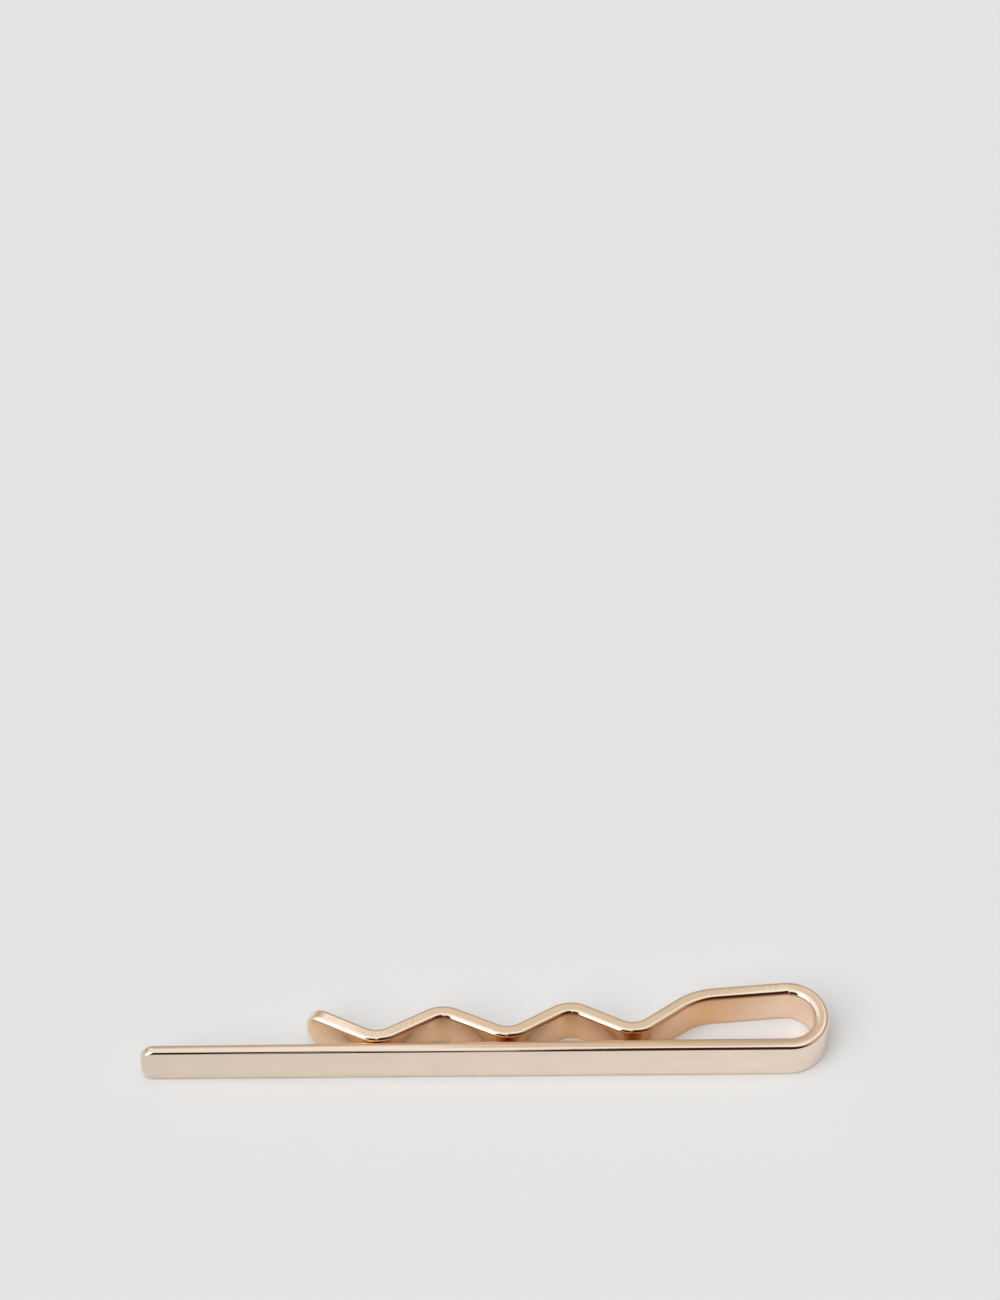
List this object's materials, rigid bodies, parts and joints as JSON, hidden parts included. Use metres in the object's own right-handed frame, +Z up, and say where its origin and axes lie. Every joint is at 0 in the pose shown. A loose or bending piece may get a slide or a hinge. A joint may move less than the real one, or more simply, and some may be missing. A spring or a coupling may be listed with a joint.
{
  "type": "tie clip",
  "caption": "Slim tie clip folded from flat strip: a plain front bar, a half-round return bend and a wavy spring leg with a turned-up tip that grips a tie against the bar.",
  "frame": {"origin": "under the middle of the closed clip, on the surface that the strip's long edge stands on", "axes": "+X along the bar towards the return bend, +Y from the bar's front face towards the spring leg, +Z up across the strip's width"},
  "size_m": [0.06, 0.0072, 0.004],
  "materials": {
    "rose_gold": "polished rose-gold plate"
  },
  "bodies": {
    "bar": {"front_bar": "rose_gold", "return_bend": "rose_gold"},
    "leg": {"spring_leg": "rose_gold"}
  },
  "joints": [
    {"name": "leg_flex", "type": "hinge", "parent": "bar", "child": "leg", "pos_m": [0.0264, 0, 0.002], "axis": [0, 0, -1], "range_deg": [0, 6], "stiffness_Nm_per_rad": 2.1, "deforming": ["return_bend"]}
  ]
}
